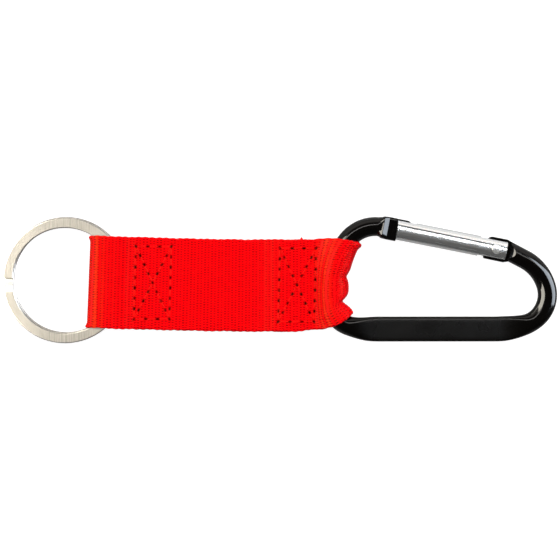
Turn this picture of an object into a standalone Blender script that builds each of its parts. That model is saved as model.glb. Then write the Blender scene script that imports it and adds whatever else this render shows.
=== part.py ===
"""Carabiner keyring: a split ring and a small wire-style carabiner joined by a sewn webbing strap.

Metres, +Z up. The keyring lies on its back: +X runs from the split ring to the carabiner, +Y is the
gate side, and the origin is on the surface it lies on, under the middle of the whole object.
Inside the script, X and Y are measured from the split ring's centre; the empty "keyring" moves
everything to the origin.
"""
import math

import bmesh
import bpy
from mathutils import Vector

MM = 0.001

# Whole object
MIDDLE_X = 58.65 * MM            # from the ring's centre to the middle of the object
MIDDLE_Y = 0.17 * MM
RUNNING_GAP = 0.3 * MM           # between pieces that touch or nearly touch

# Split ring: flat wire wound into two coils
RING_OUTER_R = 17.1 * MM
RING_INNER_R = 14.4 * MM
RING_WIRE_HEIGHT = 1.0 * MM
RING_COIL_PITCH = 1.08 * MM
RING_END_ANGLE = 177.0           # where the upper coil's cut end lies, degrees
RING_TURNING = 705.0             # degrees of wire
RING_RAMP_START = 345.0          # the wire steps down a coil over this stretch
RING_RAMP_END = 360.0
RING_STATION_STEP = 7.5
RING_CORNER = 0.25 * MM
RING_TILT = 3.5                  # left edge on the surface, right edge lifted by the webbing

# Carabiner frame: round rod, pressed flat along the spine
ROD_R = 2.6 * MM
SPINE_HALF_WIDTH = 3.4 * MM
SPINE_HALF_HEIGHT = 1.85 * MM
SPINE_Y = -13.2 * MM
SPINE_LEFT_X = 83.6 * MM
SPINE_RIGHT_X = 117.3 * MM
# Bends of the frame's centreline as (radius, degrees), away from each end of the spine
NOSE_SIDE_BENDS = [
    (22.1 * MM, 16.0),
    (6.7 * MM, 61.5),
    (21.8 * MM, 51.9),
    (9.75 * MM, 50.6),
    (10.0 * MM, 11.1),
]
HINGE_SIDE_BENDS = [(31.0 * MM, 15.3), (8.6 * MM, 91.2), (11.9 * MM, 46.0)]
PRESS_LEFT = (76.0 * MM, 9.0 * MM)     # where the pressing starts in X, and the run it takes
PRESS_RIGHT = (129.0 * MM, 10.0 * MM)
PRESS_REACH = 6.0 * MM                 # only this close to the spine's line
NOSE_FACE_LENGTH = 2.4 * MM      # the nose block: a low face, a slope and a raised lip
NOSE_SLOPE_LENGTH = 1.3 * MM
NOSE_LIP_LENGTH = 0.2 * MM
NOSE_HALF_WIDTH = 3.1 * MM
NOSE_FACE_HALF_HEIGHT = 2.25 * MM
NOSE_LIP_HALF_HEIGHT = 2.9 * MM
NOSE_GAP = 0.4 * MM              # between the closed gate and the nose block
TONGUE_LENGTH = 4.8 * MM
TONGUE_HALF_HEIGHT = 0.8 * MM
TONGUE_OUTER_SIDE = 2.95 * MM    # from the gate's axis
TONGUE_INNER_SIDE = 0.6 * MM
TONGUE_CORNER = 0.6 * MM
TONGUE_BEVEL = (1.6 * MM, 0.9 * MM)
ARM_LENGTH = 5.2 * MM            # straight rod from the last bend into the hinge
SECTION_SIDES = 20
SPINE_POWER = 6.0                # of the superellipse: 2 is round, more is squarer
NOSE_POWER = 8.0
CARABINER_TILT = 1.6             # its webbing end is lifted by the webbing under it
CARABINER_REST_X = 131.9 * MM    # where the frame touches the surface

# Gate: tube hinged on a rivet
PIVOT_X = 117.7 * MM
PIVOT_Y = 8.6 * MM
GATE_HEADING = 168.9             # direction from the pivot to the nose, degrees
GATE_R = 2.75 * MM
GATE_BACK = 2.77 * MM            # from the pivot to the gate's hinge end
GATE_FRONT = 27.75 * MM          # from the pivot to the gate's nose end
GATE_END_ROUND = 0.8 * MM
FORK_SLOT_HALF = 1.35 * MM
FORK_SLOT_DEPTH = 4.75 * MM      # from the pivot towards the nose
NOSE_SLOT_HALF = 1.1 * MM
NOSE_SLOT_LENGTH = 5.3 * MM
BORE_R = 1.6 * MM
BORE_END = 19.0 * MM
TANG_HALF_HEIGHT = 1.0 * MM
TANG_HALF_WIDTH = 3.15 * MM
TANG_BACK = 5.2 * MM
TANG_BACK_BEVEL = (2.6 * MM, 0.9 * MM)
TANG_CORNER = 1.4 * MM
CAM_R = 3.0 * MM                 # tang tip radius at rest
CAM_RISE = 1.36 * MM             # added for each radian of gate opening
SHOULDER_R = 3.6 * MM            # clears the gate's turning fork
SHOULDER_TOP_R = 6.75 * MM
SHOULDER_TOP = 3.2 * MM
RIVET_R = 1.0 * MM
RIVET_HEAD_R = 1.4 * MM
RIVET_HEAD_SEAT = 2.25 * MM
RIVET_HEAD_TOP = 2.85 * MM
RIVET_CLEARANCE = 0.1 * MM

# Gate spring and plunger
PLUNGER_R = 1.3 * MM
PLUNGER_LENGTH = 4.3 * MM
PLUNGER_STEM_R = 0.6 * MM
PLUNGER_STEM_LENGTH = 4.0 * MM
SPRING_WIRE_R = 0.2 * MM
SPRING_R = 1.25 * MM
SPRING_TURNS = 9
SPRING_POINTS_PER_TURN = 12

# Webbing strap
WEBBING_WIDTH = 24.2 * MM
WEBBING_THICKNESS = 1.2 * MM
STRAP_THICKNESS = 2.5 * MM       # two layers
STRAP_BOTTOM = 0.55 * MM
STRAP_Y = -1.35 * MM             # centre line at the carabiner end
FLEX_RING_X = 32.2 * MM          # the strap bends here and at FLEX_CARABINER_X
FLEX_CARABINER_X = 54.5 * MM
FLEX_GAP = 0.45 * MM
MIDDLE_SLEW = -0.9               # degrees in plan
RING_END_SLEW = -1.6
RING_FOLD_X = 5.9 * MM
RING_FOLD_DEPTH = 1.9 * MM       # the fold is this much flatter than a half circle is
HOLE_INSET = 0.9 * MM            # from the fold's outside to the loop's inside
HOLE_FOLD_DEPTH = 0.5 * MM
RING_LOOP_SHOULDER_X = 17.3 * MM
RING_LOOP_END_X = 18.7 * MM
RING_LOOP_MIDPLANE = 3.0 * MM    # at the loop's strap end
THIRD_LAYER_X = 57.6 * MM
CARABINER_LOOP_X = 68.4 * MM
CARABINER_LOOP_RISE_X = 70.6 * MM
CARABINER_LOOP_TOP_Y = 10.9 * MM
CARABINER_LOOP_BOTTOM_Y = -12.5 * MM
CARABINER_LOOP_REACH = (81.2 * MM, 79.2 * MM)   # the fold reaches no further than this, at its two sides
LOOP_STATIONS = 13
LOOP_ARC_POINTS = 9

# Box-and-cross stitching
THREAD_WIDTH = 0.5 * MM
THREAD_HEIGHT = 0.3 * MM
THREAD_LIFT = 0.1 * MM
RING_BOX = (19.2 * MM, 28.9 * MM)
CARABINER_BOX = (58.5 * MM, 67.9 * MM)
BOX_HALF_WIDTH = 10.0 * MM


def material(name, colour, roughness, metallic):
    made = bpy.data.materials.new(name)
    made.use_nodes = True
    shader = made.node_tree.nodes["Principled BSDF"]
    shader.inputs["Base Color"].default_value = (*colour, 1.0)
    shader.inputs["Roughness"].default_value = roughness
    shader.inputs["Metallic"].default_value = metallic
    return made


def clear_scene():
    for thing in list(bpy.data.objects):
        bpy.data.objects.remove(thing, do_unlink=True)


def collection(name):
    made = bpy.data.collections.new(name)
    bpy.context.scene.collection.children.link(made)
    return made


def place(thing, parent, group):
    """Link an object into a collection and hang it on its parent, keeping its own local place."""
    for old in list(thing.users_collection):
        old.objects.unlink(thing)
    group.objects.link(thing)
    thing.parent = parent
    return thing


def empty(name, parent, location, turn=(0.0, 0.0, 0.0)):
    made = bpy.data.objects.new(name, None)
    made.empty_display_size = 5 * MM
    made.location = location
    made.rotation_euler = [math.radians(angle) for angle in turn]
    return place(made, parent, PARTS)


def shade(thing, angle=40.0):
    thing.data.shade_smooth()
    thing.data.set_sharp_from_angle(angle=math.radians(angle))


def mesh_object(name, mesh, look, parent):
    mesh.materials.append(look)
    return place(bpy.data.objects.new(name, mesh), parent, PARTS)


def flat_curve(name, outlines, half_depth):
    """A filled outline, with any holes, given a depth both ways from its plane."""
    curve = bpy.data.curves.new(name, "CURVE")
    curve.dimensions = "2D"
    curve.fill_mode = "BOTH"
    curve.extrude = half_depth
    for outline in outlines:
        spline = curve.splines.new("POLY")
        spline.points.add(len(outline) - 1)
        for point, (x, y) in zip(spline.points, outline):
            point.co = (x, y, 0.0, 1.0)
        spline.use_cyclic_u = True
    return bpy.data.objects.new(name, curve)


def curve_to_mesh(curve_object):
    """Turn a curve object into a mesh with welded caps, keeping its name, parent and place."""
    bpy.context.view_layer.update()
    depsgraph = bpy.context.evaluated_depsgraph_get()
    mesh = bpy.data.meshes.new_from_object(curve_object.evaluated_get(depsgraph))
    work = bmesh.new()
    work.from_mesh(mesh)
    bmesh.ops.remove_doubles(work, verts=work.verts, dist=0.001 * MM)
    bmesh.ops.recalc_face_normals(work, faces=work.faces)
    work.to_mesh(mesh)
    work.free()
    name = curve_object.name
    group = curve_object.users_collection[0]
    made = bpy.data.objects.new(name + "_mesh", mesh)
    group.objects.link(made)
    made.parent = curve_object.parent
    made.matrix_basis = curve_object.matrix_basis.copy()
    bpy.data.objects.remove(curve_object, do_unlink=True)
    made.name = name
    return made


def as_cutter(thing, parent):
    place(thing, parent, CUTTERS)
    thing.hide_render = True
    thing.display_type = "WIRE"
    return thing


def box_cutter(name, low, high, parent):
    work = bmesh.new()
    bmesh.ops.create_cube(work, size=1.0)
    size = Vector(high) - Vector(low)
    middle = (Vector(high) + Vector(low)) / 2
    bmesh.ops.scale(work, vec=size, verts=work.verts)
    bmesh.ops.translate(work, vec=middle, verts=work.verts)
    mesh = bpy.data.meshes.new(name)
    work.to_mesh(mesh)
    work.free()
    return as_cutter(bpy.data.objects.new(name, mesh), parent)


def round_cutter(name, start, end, radius_start, radius_end, parent, sides=32):
    """A cylinder or cone between two points, with flat ends."""
    start = Vector(start)
    end = Vector(end)
    axis = end - start
    work = bmesh.new()
    bmesh.ops.create_cone(
        work, cap_ends=True, segments=sides, radius1=radius_start, radius2=radius_end, depth=axis.length
    )
    turn = axis.to_track_quat("Z", "Y").to_matrix()
    bmesh.ops.rotate(work, cent=(0, 0, 0), matrix=turn, verts=work.verts)
    bmesh.ops.translate(work, vec=(start + end) / 2, verts=work.verts)
    mesh = bpy.data.meshes.new(name)
    work.to_mesh(mesh)
    work.free()
    return as_cutter(bpy.data.objects.new(name, mesh), parent)


def boolean(thing, other, operation):
    modifier = thing.modifiers.new(operation.lower() + "_" + other.name, "BOOLEAN")
    modifier.operation = operation
    modifier.object = other
    modifier.solver = "EXACT"


def loft(name, rings):
    """A closed skin through rings of equal length, each a list of points, with flat ends."""
    work = bmesh.new()
    made = [[work.verts.new(point) for point in ring] for ring in rings]
    for low, high in zip(made, made[1:]):
        for index in range(len(low)):
            after = (index + 1) % len(low)
            work.faces.new((low[index], low[after], high[after], high[index]))
    work.faces.new(list(reversed(made[0])))
    work.faces.new(made[-1])
    bmesh.ops.recalc_face_normals(work, faces=work.faces)
    mesh = bpy.data.meshes.new(name)
    work.to_mesh(mesh)
    work.free()
    return mesh


def smooth_step(value):
    value = min(max(value, 0.0), 1.0)
    return value * value * (3 - 2 * value)


def walk(start, heading, moves, step=1.0 * MM):
    """Points and headings along straight runs (length, None) and bends (radius, signed degrees)."""
    points = [(Vector(start), heading)]
    place_now = Vector(start)
    for size, turn in moves:
        length = size if turn is None else size * math.radians(abs(turn))
        pieces = max(1, math.ceil(length / step))
        for _ in range(pieces):
            swing = 0.0 if turn is None else turn / pieces
            middle = math.radians(heading + swing / 2)
            chord = length / pieces
            if swing:
                chord = 2 * size * math.sin(math.radians(abs(swing)) / 2)
            place_now = place_now + chord * Vector((math.cos(middle), math.sin(middle)))
            heading += swing
            points.append((place_now, heading))
    return points


def frame_centreline():
    """Centreline from the nose round to the hinge, as (point, heading) in the frame's plane."""
    nose_moves = [(radius, -turn) for radius, turn in NOSE_SIDE_BENDS]
    nose_moves += [(NOSE_LIP_LENGTH, None), (NOSE_SLOPE_LENGTH, None), (NOSE_FACE_LENGTH, None)]
    nose_side = walk((SPINE_LEFT_X, SPINE_Y), 180.0, nose_moves)
    hinge_side = walk((SPINE_RIGHT_X, SPINE_Y), 0.0, HINGE_SIDE_BENDS + [(ARM_LENGTH, None)])
    spine = walk((SPINE_LEFT_X, SPINE_Y), 0.0, [(SPINE_RIGHT_X - SPINE_LEFT_X, None)], 4 * MM)
    reversed_nose = [(point, heading + 180.0) for point, heading in reversed(nose_side)]
    return reversed_nose + spine[1:-1] + hinge_side


def section(point, heading, half_width, half_height, power):
    """One cross-section, square to the centreline: a circle or a rounded bar with a flat top facet."""
    side = math.radians(heading - 90)
    outward = Vector((math.cos(side), math.sin(side), 0))
    ring = []
    for index in range(SECTION_SIDES):
        angle = 2 * math.pi * (index + 0.5) / SECTION_SIDES
        cosine = math.cos(angle)
        sine = math.sin(angle)
        across = math.copysign(abs(cosine) ** (2 / power), cosine) * half_width
        up = math.copysign(abs(sine) ** (2 / power), sine) * half_height
        ring.append(point.to_3d() + outward * across + Vector((0, 0, up)))
    return ring


def spine_share(point):
    """How far the rod is pressed flat at a point: 0 on the round bends, 1 along the spine."""
    if point.y > SPINE_Y + PRESS_REACH:
        return 0.0
    left = smooth_step((point.x - PRESS_LEFT[0]) / PRESS_LEFT[1])
    right = smooth_step((PRESS_RIGHT[0] - point.x) / PRESS_RIGHT[1])
    return left * right


def nose_half_height(travelled):
    """Half height of the nose block at a distance from the frame's nose end."""
    share = min(max((travelled - NOSE_FACE_LENGTH) / NOSE_SLOPE_LENGTH, 0.0), 1.0)
    return NOSE_FACE_HALF_HEIGHT + share * (NOSE_LIP_HALF_HEIGHT - NOSE_FACE_HALF_HEIGHT)


def frame_rings(grown=0.0, until_x=None):
    """Cross-sections along the frame, or along its webbing side only, made larger all round."""
    rings = []
    travelled = 0.0
    before = None
    for point, heading in frame_centreline():
        travelled += (point - before).length if before else 0.0
        before = point
        share = spine_share(point)
        half_width = ROD_R + share * (SPINE_HALF_WIDTH - ROD_R)
        half_height = ROD_R + share * (SPINE_HALF_HEIGHT - ROD_R)
        power = 2.0 + share * (SPINE_POWER - 2.0)
        if travelled < NOSE_FACE_LENGTH + NOSE_SLOPE_LENGTH + NOSE_LIP_LENGTH / 2:
            half_width = NOSE_HALF_WIDTH
            half_height = nose_half_height(travelled)
            power = NOSE_POWER
        if until_x is None or point.x < until_x:
            rings.append(section(point, heading, half_width + grown, half_height + grown, power))
    return rings


def arc_points(centre, radius, start, end, count):
    angles = [start + (end - start) * index / (count - 1) for index in range(count)]
    return [
        (centre[0] + radius * math.cos(math.radians(a)), centre[1] + radius * math.sin(math.radians(a)))
        for a in angles
    ]


def tang_outline():
    """The flat hinge tang in the gate's frame: its tip is a spiral cam, +X to the nose, +Y inward."""
    spiral = []
    for index in range(15):
        angle = -12.0 + 60.0 * index / 14
        radius = CAM_R + CAM_RISE * math.radians(max(angle, 0.0))
        spiral.append((radius * math.cos(math.radians(angle)), radius * math.sin(math.radians(angle))))
    outer_corner = arc_points((TANG_CORNER, TANG_CORNER - TANG_HALF_WIDTH), TANG_CORNER, -90, -25, 6)
    side_x = -TANG_BACK + TANG_BACK_BEVEL[0]
    back_y = TANG_HALF_WIDTH - TANG_BACK_BEVEL[1]
    back = [(-TANG_BACK, back_y), (-TANG_BACK, -back_y)]
    return [(side_x, TANG_HALF_WIDTH)] + back + [(side_x, -TANG_HALF_WIDTH)] + outer_corner + spiral


def build_frame(rest, pivot):
    """The carabiner's one-piece frame: nose and tongue, bends, pressed spine, shoulder and tang."""
    look = material("black_anodised", (0.012, 0.011, 0.011), 0.25, 0.4)
    frame = mesh_object("carabiner_frame", loft("carabiner_frame", frame_rings()), look, rest)
    frame.location = (-CARABINER_REST_X, 0, 0)
    tang = flat_curve("tang_plate", [tang_outline()], TANG_HALF_HEIGHT)
    tang = curve_to_mesh(place(tang, pivot, CUTTERS))
    as_cutter(tang, pivot)
    nose_x = GATE_FRONT + NOSE_GAP
    root_x = nose_x + TONGUE_CORNER
    tip_x = nose_x - TONGUE_LENGTH
    tongue_outline = [
        (root_x, -TONGUE_OUTER_SIDE),
        (root_x, TONGUE_INNER_SIDE),
        (tip_x + TONGUE_CORNER, TONGUE_INNER_SIDE),
        (tip_x, TONGUE_INNER_SIDE - TONGUE_CORNER),
        (tip_x, -TONGUE_OUTER_SIDE + TONGUE_BEVEL[1]),
        (tip_x + TONGUE_BEVEL[0], -TONGUE_OUTER_SIDE),
    ]
    tongue = flat_curve("tongue_plate", [tongue_outline], TONGUE_HALF_HEIGHT)
    tongue = curve_to_mesh(place(tongue, pivot, CUTTERS))
    as_cutter(tongue, pivot)
    nose_trim = box_cutter(
        "nose_trim",
        (GATE_FRONT - 6 * MM, -6 * MM, -4 * MM),
        (nose_x, 6 * MM, 4 * MM),
        pivot,
    )
    boolean(frame, nose_trim, "DIFFERENCE")
    for side in (1, -1):
        low = (0, 0, side * TANG_HALF_HEIGHT)
        high = (0, 0, side * SHOULDER_TOP)
        name = "shoulder_cut_top" if side > 0 else "shoulder_cut_bottom"
        boolean(frame, round_cutter(name, low, high, SHOULDER_R, SHOULDER_TOP_R, pivot), "DIFFERENCE")
    boolean(frame, tang, "UNION")
    boolean(frame, tongue, "UNION")
    hole_r = RIVET_R + RIVET_CLEARANCE
    hole = round_cutter("tang_hole", (0, 0, -4 * MM), (0, 0, 4 * MM), hole_r, hole_r, pivot)
    boolean(frame, hole, "DIFFERENCE")
    shade(frame)
    return frame


def build_gate(pivot):
    """The gate sleeve: a forked tube with a spring bore and a slot for the nose's tongue."""
    look = material("polished_aluminium", (0.78, 0.79, 0.8), 0.18, 1.0)
    work = bmesh.new()
    bmesh.ops.create_cone(
        work,
        cap_ends=True,
        segments=32,
        radius1=GATE_R,
        radius2=GATE_R,
        depth=GATE_BACK + GATE_FRONT,
    )
    turn = Vector((1, 0, 0)).to_track_quat("Z", "Y").to_matrix()
    bmesh.ops.rotate(work, cent=(0, 0, 0), matrix=turn, verts=work.verts)
    bmesh.ops.translate(work, vec=((GATE_FRONT - GATE_BACK) / 2, 0, 0), verts=work.verts)
    mesh = bpy.data.meshes.new("gate_sleeve")
    work.to_mesh(mesh)
    work.free()
    gate = mesh_object("gate_sleeve", mesh, look, pivot)
    corner = GATE_R - GATE_END_ROUND
    outline = arc_points((-GATE_BACK + GATE_END_ROUND, corner + 0.05 * MM), GATE_END_ROUND, 90, 180, 6)
    outline += arc_points((-GATE_BACK + GATE_END_ROUND, -corner - 0.05 * MM), GATE_END_ROUND, 180, 270, 6)
    outline += [(GATE_FRONT + 1 * MM, -GATE_R - 0.05 * MM), (GATE_FRONT + 1 * MM, GATE_R + 0.05 * MM)]
    plan = flat_curve("gate_plan", [outline], 4 * MM)
    plan = curve_to_mesh(place(plan, pivot, CUTTERS))
    as_cutter(plan, pivot)
    boolean(gate, plan, "INTERSECT")
    fork_slot = box_cutter(
        "fork_slot", (-4 * MM, -4 * MM, -FORK_SLOT_HALF), (FORK_SLOT_DEPTH, 4 * MM, FORK_SLOT_HALF), pivot
    )
    boolean(gate, fork_slot, "DIFFERENCE")
    bore = round_cutter("spring_bore", (4 * MM, 0, 0), (BORE_END, 0, 0), BORE_R, BORE_R, pivot, 20)
    boolean(gate, bore, "DIFFERENCE")
    nose_slot = box_cutter(
        "nose_slot",
        (GATE_FRONT - NOSE_SLOT_LENGTH, -4 * MM, -NOSE_SLOT_HALF),
        (GATE_FRONT + 1 * MM, TONGUE_INNER_SIDE + 0.6 * MM, NOSE_SLOT_HALF),
        pivot,
    )
    boolean(gate, nose_slot, "DIFFERENCE")
    hole_r = RIVET_R + RIVET_CLEARANCE
    hole = round_cutter("rivet_hole", (0, 0, -4 * MM), (0, 0, 4 * MM), hole_r, hole_r, pivot, 24)
    boolean(gate, hole, "DIFFERENCE")
    seat_r = RIVET_HEAD_R + RIVET_CLEARANCE
    for side in (1, -1):
        name = "head_seat_top" if side > 0 else "head_seat_bottom"
        low = (0, 0, side * (RIVET_HEAD_SEAT - RIVET_CLEARANCE))
        seat = round_cutter(name, low, (0, 0, side * 4 * MM), seat_r, seat_r, pivot, 24)
        boolean(gate, seat, "DIFFERENCE")
    shade(gate)
    return gate


def turned(name, profile, look, parent, steps=24):
    """A turned piece about the local Z axis; the profile runs down the outer side, top to bottom."""
    mesh = bpy.data.meshes.new(name)
    work = bmesh.new()
    verts = [work.verts.new((radius, 0, height)) for radius, height in profile]
    for low, high in zip(verts, verts[1:]):
        work.edges.new((low, high))
    work.to_mesh(mesh)
    work.free()
    thing = mesh_object(name, mesh, look, parent)
    screw = thing.modifiers.new("turn", "SCREW")
    screw.axis = "Z"
    screw.steps = steps
    screw.render_steps = steps
    screw.use_merge_vertices = True
    screw.merge_threshold = 0.00001
    screw.use_smooth_shade = True
    return thing


def build_rivet(pivot):
    look = material("rivet_steel", (0.72, 0.73, 0.74), 0.25, 1.0)
    dome = [
        (0.0, RIVET_HEAD_TOP),
        (RIVET_HEAD_R * 0.5, RIVET_HEAD_TOP - 0.05 * MM),
        (RIVET_HEAD_R * 0.85, RIVET_HEAD_TOP - 0.2 * MM),
        (RIVET_HEAD_R, RIVET_HEAD_TOP - 0.4 * MM),
        (RIVET_HEAD_R, RIVET_HEAD_SEAT),
        (RIVET_R, RIVET_HEAD_SEAT),
    ]
    profile = dome + [(radius, -height) for radius, height in reversed(dome)]
    return turned("hinge_rivet", profile, look, pivot)


def build_plunger(pivot):
    """The steel plunger that the spring presses on the tang's cam; its axis is the gate's axis."""
    look = material("plunger_steel", (0.6, 0.6, 0.61), 0.3, 1.0)
    nose = CAM_R + RUNNING_GAP
    dome = [
        (PLUNGER_R * math.sin(math.radians(angle)), PLUNGER_R * (1 - math.cos(math.radians(angle))))
        for angle in (0, 22, 45, 68, 90)
    ]
    profile = dome + [
        (PLUNGER_R, PLUNGER_LENGTH),
        (PLUNGER_STEM_R, PLUNGER_LENGTH),
        (PLUNGER_STEM_R, PLUNGER_LENGTH + PLUNGER_STEM_LENGTH),
        (0.0, PLUNGER_LENGTH + PLUNGER_STEM_LENGTH),
    ]
    plunger = turned("spring_plunger", [(radius, -height) for radius, height in profile], look, pivot, 16)
    plunger.location = (nose, 0, 0)
    plunger.rotation_euler = (0, math.radians(-90), 0)
    return plunger


def build_spring(pivot):
    look = material("spring_steel", (0.55, 0.55, 0.56), 0.35, 1.0)
    start = CAM_R + RUNNING_GAP + PLUNGER_LENGTH + RUNNING_GAP + SPRING_WIRE_R
    end = BORE_END - RUNNING_GAP - SPRING_WIRE_R
    curve = bpy.data.curves.new("gate_spring", "CURVE")
    curve.dimensions = "3D"
    curve.bevel_depth = SPRING_WIRE_R
    curve.bevel_resolution = 1
    curve.use_fill_caps = True
    spline = curve.splines.new("POLY")
    count = SPRING_TURNS * SPRING_POINTS_PER_TURN + 1
    spline.points.add(count - 1)
    for index, point in enumerate(spline.points):
        share = index / (count - 1)
        angle = 2 * math.pi * SPRING_TURNS * share
        along = start + (end - start) * share
        point.co = (along, SPRING_R * math.cos(angle), SPRING_R * math.sin(angle), 1.0)
    spring = bpy.data.objects.new("gate_spring", curve)
    curve.materials.append(look)
    return place(spring, pivot, PARTS)


def build_ring(rest):
    """The split ring: one flat wire wound clockwise, stepping down from the upper to the lower coil."""
    look = material("nickel_plate", (0.72, 0.7, 0.66), 0.3, 1.0)
    half = RING_WIRE_HEIGHT / 2
    corners = [
        (RING_INNER_R + RING_CORNER, -half),
        (RING_OUTER_R - RING_CORNER, -half),
        (RING_OUTER_R, -half + RING_CORNER),
        (RING_OUTER_R, half - RING_CORNER),
        (RING_OUTER_R - RING_CORNER, half),
        (RING_INNER_R + RING_CORNER, half),
        (RING_INNER_R, half - RING_CORNER),
        (RING_INNER_R, -half + RING_CORNER),
    ]
    rings = []
    for index in range(round(RING_TURNING / RING_STATION_STEP) + 1):
        wound = index * RING_STATION_STEP
        angle = math.radians(RING_END_ANGLE - wound)
        fall = smooth_step((wound - RING_RAMP_START) / (RING_RAMP_END - RING_RAMP_START))
        height = RING_COIL_PITCH * (0.5 - fall)
        ring = [Vector((r * math.cos(angle), r * math.sin(angle), z + height)) for r, z in corners]
        rings.append(ring)
    ring = mesh_object("split_ring", loft("split_ring", rings), look, rest)
    shade(ring)
    return ring


def ring_height(x):
    """Height of the ring's middle plane above the surface, x from the ring's centre."""
    tilt = math.radians(RING_TILT)
    half = (RING_COIL_PITCH + RING_WIRE_HEIGHT) / 2
    return RING_OUTER_R * math.sin(tilt) + half * math.cos(tilt) + x * math.tan(tilt)


def strap_solid(name, outlines, look, parent):
    """A length of strap from its side outline (X across, Z up), as wide as the webbing."""
    curve = flat_curve(name, outlines, WEBBING_WIDTH / 2)
    curve.data.materials.append(look)
    curve.rotation_euler = (math.radians(90), 0, 0)
    return place(curve, parent, PARTS)


def build_strap_middle(look, keyring):
    """The unstitched two layers between the sewn ends; it bends at both of its round ends."""
    radius = STRAP_THICKNESS / 2
    length = FLEX_CARABINER_X - FLEX_RING_X
    where = (FLEX_CARABINER_X, STRAP_Y, STRAP_BOTTOM + radius)
    hinge = empty("strap_middle_place", keyring, where, (0, 0, MIDDLE_SLEW))
    outline = arc_points((0, 0), radius, -90, 90, 9) + arc_points((-length, 0), radius, 90, 270, 9)
    return strap_solid("webbing_middle", [outline], look, hinge)


def ring_end_line():
    """Slope of the sewn ring end: lifted by the ring at its loop, down at the bend."""
    low = STRAP_BOTTOM + STRAP_THICKNESS / 2
    run = FLEX_RING_X - RING_LOOP_END_X
    return math.degrees(math.atan2(RING_LOOP_MIDPLANE - low, run))


def build_ring_end(look, keyring):
    """The sewn ring end, with the loop round the split ring open from side to side."""
    radius = STRAP_THICKNESS / 2
    slew_y = STRAP_Y + (FLEX_CARABINER_X - FLEX_RING_X) * math.sin(math.radians(-MIDDLE_SLEW))
    where = (FLEX_RING_X, slew_y, STRAP_BOTTOM + radius)
    hinge = empty("strap_ring_end_place", keyring, where, (0, 0, RING_END_SLEW))
    slope = math.radians(ring_end_line())
    tip = -(2 * radius + FLEX_GAP)
    strap_x = RING_LOOP_END_X - FLEX_RING_X

    def on_strap(x, off):
        return (x + off * math.sin(slope), -x * math.tan(slope) + off * math.cos(slope))

    rise = math.radians(RING_TILT)

    def on_ring(x, off):
        middle = ring_height(x + FLEX_RING_X) - STRAP_BOTTOM - radius
        return (x - off * math.sin(rise), middle + off * math.cos(rise))

    inner = RING_COIL_PITCH / 2 + RING_WIRE_HEIGHT / 2 + RUNNING_GAP
    outer = inner + WEBBING_THICKNESS
    fold = RING_FOLD_X - FLEX_RING_X
    shoulder = RING_LOOP_SHOULDER_X - FLEX_RING_X
    end_arc = [
        on_strap(tip + radius * math.sin(math.radians(a)), radius * math.cos(math.radians(a)))
        for a in range(180, -1, -20)
    ]
    top = [
        on_strap(strap_x + 0.15 * MM, radius),
        on_ring(shoulder, outer - 0.3 * MM),
        on_ring(shoulder - 2 * MM, outer),
    ]
    fold_arc = [
        on_ring(fold + RING_FOLD_DEPTH * (1 - math.sin(math.radians(a))), outer * math.cos(math.radians(a)))
        for a in range(0, 181, 15)
    ]
    bottom = [
        on_ring(shoulder - 2 * MM, -outer),
        on_ring(shoulder, -outer + 0.3 * MM),
        on_strap(strap_x + 0.15 * MM, -radius),
    ]
    outline = end_arc + top + fold_arc + bottom
    hole_arc = []
    for a in range(0, 181, 20):
        hole_x = fold + HOLE_INSET + HOLE_FOLD_DEPTH * (1 - math.sin(math.radians(a)))
        hole_arc.append(on_ring(hole_x, inner * math.cos(math.radians(a))))
    hole = [on_ring(shoulder + 0.2 * MM, inner - 0.2 * MM)] + hole_arc
    hole += [on_ring(shoulder + 0.2 * MM, -inner + 0.2 * MM), on_strap(strap_x - 0.5 * MM, 0)]
    strap_solid("webbing_ring_end", [outline, hole], look, hinge)
    return hinge


def left_side_x(y):
    """X of the frame's centreline, and how far its section is stretched, where it crosses a given Y."""
    line = [(point, heading) for point, heading in frame_centreline() if point.x < SPINE_LEFT_X]
    for (before, heading), (after, _) in zip(line, line[1:]):
        if before.y >= y >= after.y and before.y > after.y:
            share = (before.y - y) / (before.y - after.y)
            stretch = 1 / max(abs(math.sin(math.radians(heading))), 0.55)
            return before.x + share * (after.x - before.x), stretch
    raise ValueError("the loop reaches past the frame's left side")


def frame_height(x):
    """Height of the frame's centre plane above the surface."""
    return ROD_R + (CARABINER_REST_X - x) * math.sin(math.radians(CARABINER_TILT))


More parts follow.
